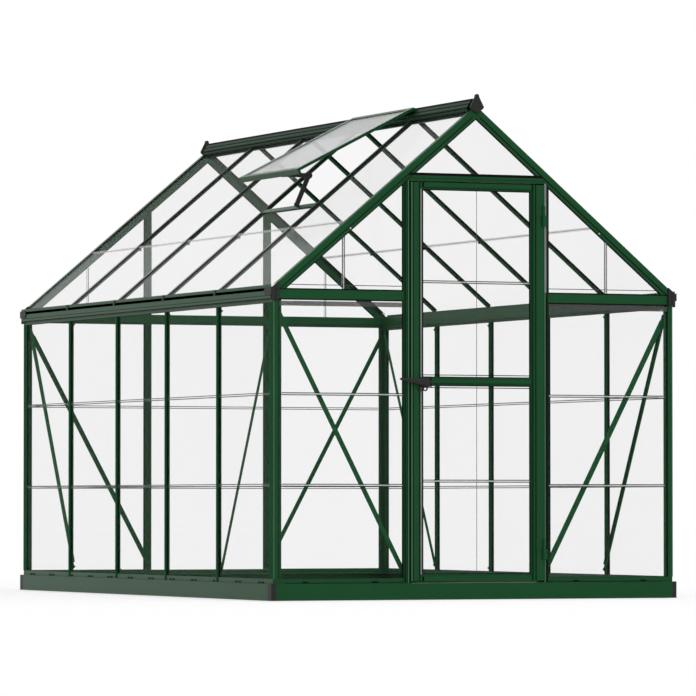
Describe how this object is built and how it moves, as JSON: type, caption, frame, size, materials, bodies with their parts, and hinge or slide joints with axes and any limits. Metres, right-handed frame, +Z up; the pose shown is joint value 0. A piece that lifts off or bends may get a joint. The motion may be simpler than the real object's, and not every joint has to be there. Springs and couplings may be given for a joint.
{
  "type": "greenhouse",
  "caption": "Walk-in gabled greenhouse of green glazing bars on a low base frame, with clear sheets, eave gutters, a hinged door with a lever handle and a propped roof vent.",
  "frame": {"origin": "centre of the base frame's footprint, on the ground", "axes": "+X across the gables to the right seen from the door, +Y along the length from the door gable to the back, +Z up"},
  "size_m": [1.8546, 3.0926, 2.102],
  "materials": {
    "frame": "satin green powder coat on aluminium",
    "black_plastic": "moulded, fine grained",
    "glazing": "clear sheet",
    "vent_sheet": "slightly milky sheet",
    "joint_strip": "clear extruded strip",
    "seal": "matt",
    "fastener": "zinc plated steel"
  },
  "bodies": {
    "house": {"base_front": "frame", "base_back": "frame", "base_left": "frame", "base_right": "frame", "base_corners": "black_plastic", "wall_sills": "frame", "corner_posts": "frame", "left_wall_studs": "frame", "right_wall_studs": "frame", "back_gable_studs": "frame", "door_jambs": "frame", "door_header": "frame", "door_stops": "seal", "gable_tie_beams": "frame", "left_gutter": "frame", "right_gutter": "frame", "gutter_end_caps": "black_plastic", "front_rafters": "frame", "back_rafters": "frame", "left_roof_bars": "frame", "right_roof_bars": "frame", "ridge_beam": "frame", "ridge_end_caps": "black_plastic", "wall_braces": "frame", "vent_sill": "frame", "vent_frame": "frame", "vent_sheet": "vent_sheet", "vent_stay": "black_plastic", "left_wall_sheets": "glazing", "right_wall_sheets": "glazing", "front_gable_sheets": "glazing", "back_gable_sheets": "glazing", "left_roof_sheets": "glazing", "right_roof_sheets": "glazing", "wall_joint_strips": "joint_strip", "roof_joint_strips": "joint_strip", "hinge_pintles": "frame"},
    "door": {"hinge_knuckles": "frame", "door_stiles": "frame", "door_rails": "frame", "door_sheets": "glazing", "door_joint_strips": "joint_strip", "handle_plate": "black_plastic"},
    "lever": {"handle_lever": "black_plastic"}
  },
  "joints": [
    {"name": "door_swing", "type": "hinge", "parent": "house", "child": "door", "pos_m": [0.3, -1.5413, 0.904], "axis": [0, 0, 1], "range_deg": [0, 150]},
    {"name": "lever_turn", "type": "hinge", "parent": "door", "child": "lever", "pos_m": [-0.243, -1.5403, 0.897], "axis": [0, -1, 0], "range_deg": [0, 90]}
  ]
}
